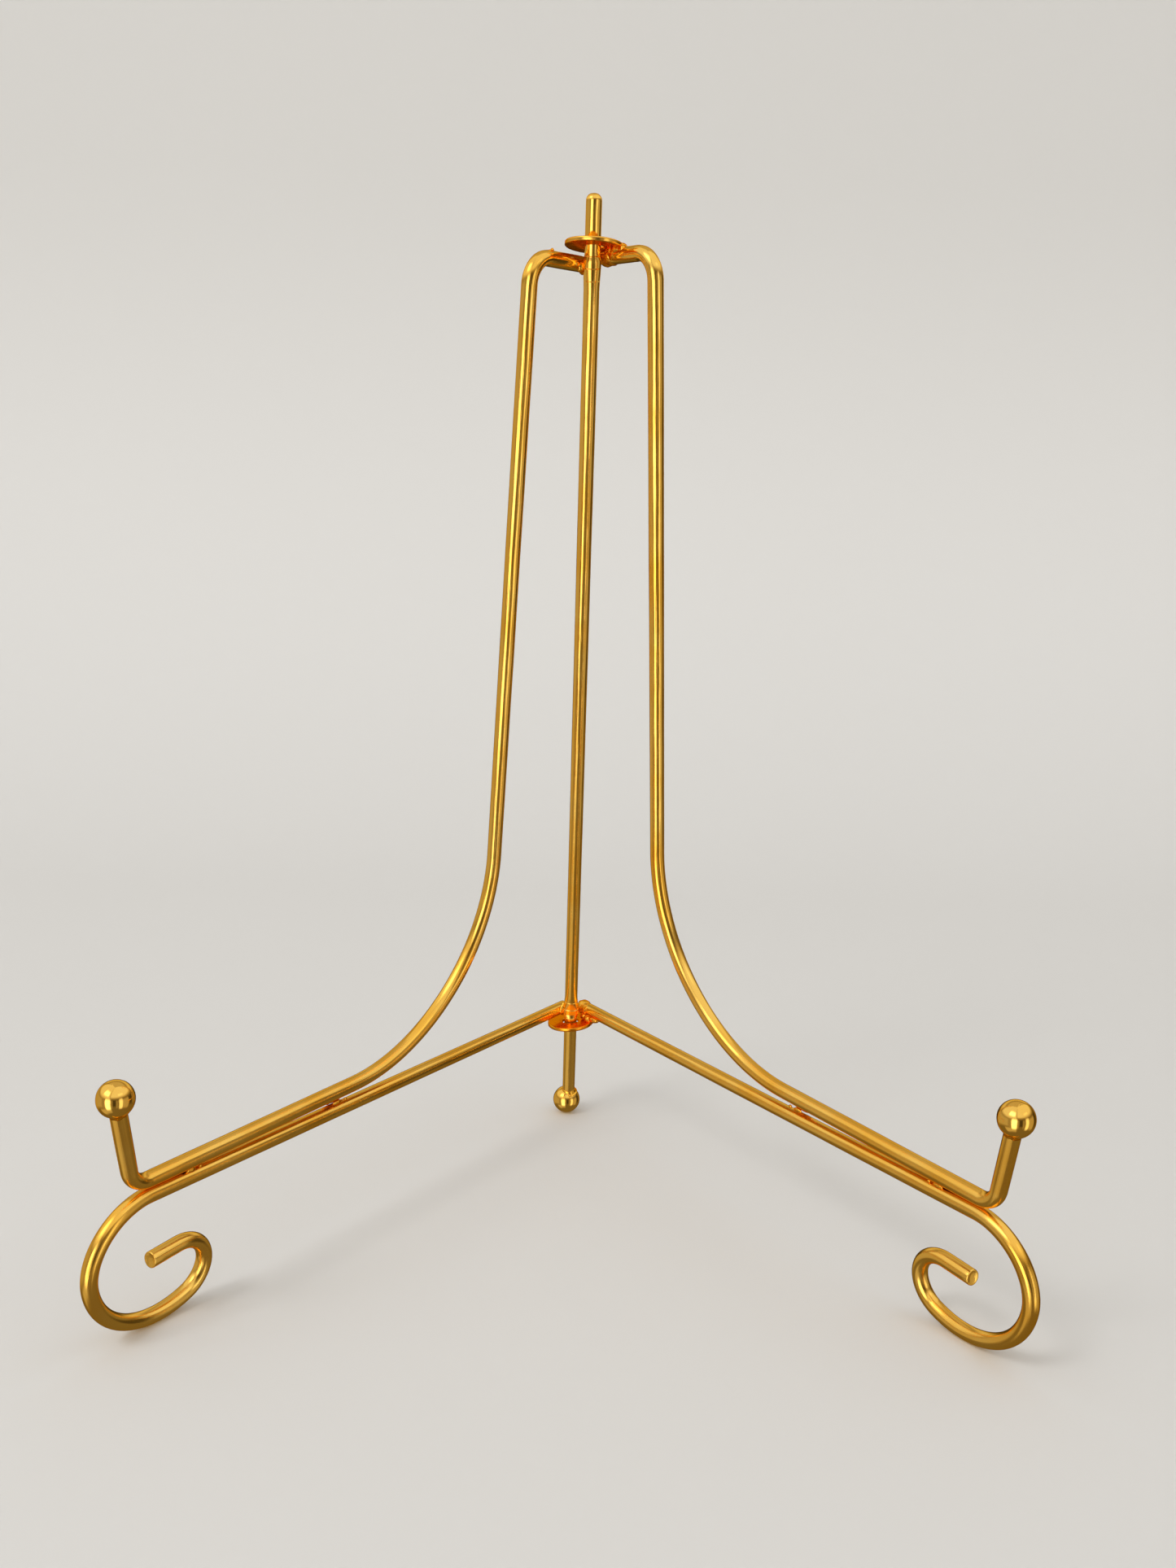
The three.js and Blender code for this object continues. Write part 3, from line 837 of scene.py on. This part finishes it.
# Softboxes and reflectors that the plating mirrors, in degrees seen from the stand: azimuth from
# straight ahead, positive to the right, then elevation; each with its radiance.
SOFTBOXES = (
    ((-200, 200), (-100, -22), 0.19),
    ((-95, -8), (-66, -34), 0.55),
    ((-44, -12), (-44, 16), 2.3),
    ((-150, -62), (-34, 14), 0.48),
    ((-66, 2), (-44, 16), 0.34),
    ((20, 33), (-42, 14), 0.36),
    ((38, 60), (-42, 16), 1.35),
    ((58, 98), (-42, 14), 0.48),
    ((124, 165), (-30, 14), 0.26),
    ((-200, 200), (14, 50), 0.34),
    ((-200, -140), (5, 34), 0.7),
    ((140, 200), (5, 34), 0.7),
    ((-135, -15), (13, 100), 0.85),
    ((-15, 135), (22, 100), 0.9),
    ((-200, 200), (36, 100), 0.55),
    ((-74, -26), (28, 58), 2.4),
    ((34, 74), (30, 50), 1.3),
)
ROOM = 0.07
DIM_COLOUR = (1.0, 0.80, 0.45)  # the tone of the room away from the softboxes
DIM_SPAN = (0.1, 0.9)  # radiance from the room's tone to white
AZIMUTH_EDGE = 4.5  # half the width of a softbox's soft edge, degrees
ELEVATION_EDGE = 9.0
BACKDROP = 0.62  # radiance behind the paper, where the camera looks past its edges


def soft_window(tree, angle, edge_width, low, high):
    """1 between two angles in degrees, and 0 outside them, with soft edges."""
    sides = []
    for edge, before, after in ((low, 0.0, 1.0), (high, 1.0, 0.0)):
        span = [math.radians(edge + shift) for shift in (-edge_width, edge_width)]
        sides.append(ranged(tree, angle, *span, before, after))
    return math_node(tree, "MULTIPLY", *sides)


def build_room():
    """The world: a dark room with softboxes, and plain paper where the camera looks past them."""
    world = bpy.data.worlds.new("studio")
    world.use_nodes = True
    tree = world.node_tree
    axes = tree.nodes.new("ShaderNodeSeparateXYZ")
    tree.links.new(tree.nodes.new("ShaderNodeTexCoord").outputs["Generated"], axes.inputs[0])
    ahead = math_node(tree, "MULTIPLY", axes.outputs["Y"], -1.0)
    azimuth = math_node(tree, "ARCTAN2", axes.outputs["X"], ahead)
    elevation = math_node(tree, "ARCSINE", axes.outputs["Z"])
    level = ROOM
    for across, upward, radiance in SOFTBOXES:
        box = math_node(
            tree,
            "MULTIPLY",
            soft_window(tree, azimuth, AZIMUTH_EDGE, *across),
            soft_window(tree, elevation, ELEVATION_EDGE, *upward),
        )
        level = math_node(tree, "MAXIMUM", level, math_node(tree, "MULTIPLY", box, radiance))
    seen = tree.nodes.new("ShaderNodeLightPath").outputs["Is Camera Ray"]
    mixed = tree.nodes.new("ShaderNodeMix")
    mixed.data_type = "FLOAT"
    tree.links.new(seen, mixed.inputs[0])
    tree.links.new(level, mixed.inputs[2])
    mixed.inputs[3].default_value = BACKDROP
    background = tree.nodes["Background"]
    warmth = tree.nodes.new("ShaderNodeMix")
    warmth.data_type = "RGBA"
    warmth.inputs["A"].default_value = (*DIM_COLOUR, 1)
    warmth.inputs["B"].default_value = (1.0, 1.0, 1.0, 1)
    brightness = ranged(tree, level, *DIM_SPAN, 0.0, 1.0)
    tree.links.new(math_node(tree, "MAXIMUM", brightness, seen), warmth.inputs["Factor"])
    tree.links.new(warmth.outputs["Result"], background.inputs["Color"])
    tree.links.new(mixed.outputs[0], background.inputs["Strength"])
    bpy.context.scene.world = world
    bpy.context.scene.view_settings.view_transform = "Standard"


KEY = dict(place=(-0.6, -0.75, 1.0), size=0.35, energy=3.0)
CAMERA = dict(place=(0.0037, -0.3865, 0.1838), turn=(81.18, -1.25, 0.19), lens=33.63, sensor=36.0)


def build_key():
    """One soft light from the left that only shapes the shadows on the paper."""
    data = bpy.data.lights.new("key_left", "AREA")
    data.shape = "DISK"
    data.size = KEY["size"]
    data.energy = KEY["energy"]
    made = bpy.data.objects.new("key_left", data)
    made.location = KEY["place"]
    made.rotation_euler = Vector(made.location).to_track_quat("Z", "Y").to_euler()
    made.visible_camera = False
    made.visible_glossy = False
    bpy.context.scene.collection.objects.link(made)


def build_camera():
    """The photograph's viewpoint: just above the hooks, looking a little down."""
    data = bpy.data.cameras.new("viewpoint")
    data.sensor_fit = "VERTICAL"
    data.sensor_height = CAMERA["sensor"]
    data.lens = CAMERA["lens"]
    made = bpy.data.objects.new("viewpoint", data)
    made.location = CAMERA["place"]
    made.rotation_euler = [math.radians(angle) for angle in CAMERA["turn"]]
    bpy.context.scene.collection.objects.link(made)
    bpy.context.scene.camera = made


build_sweep()
build_room()
build_key()
build_camera()
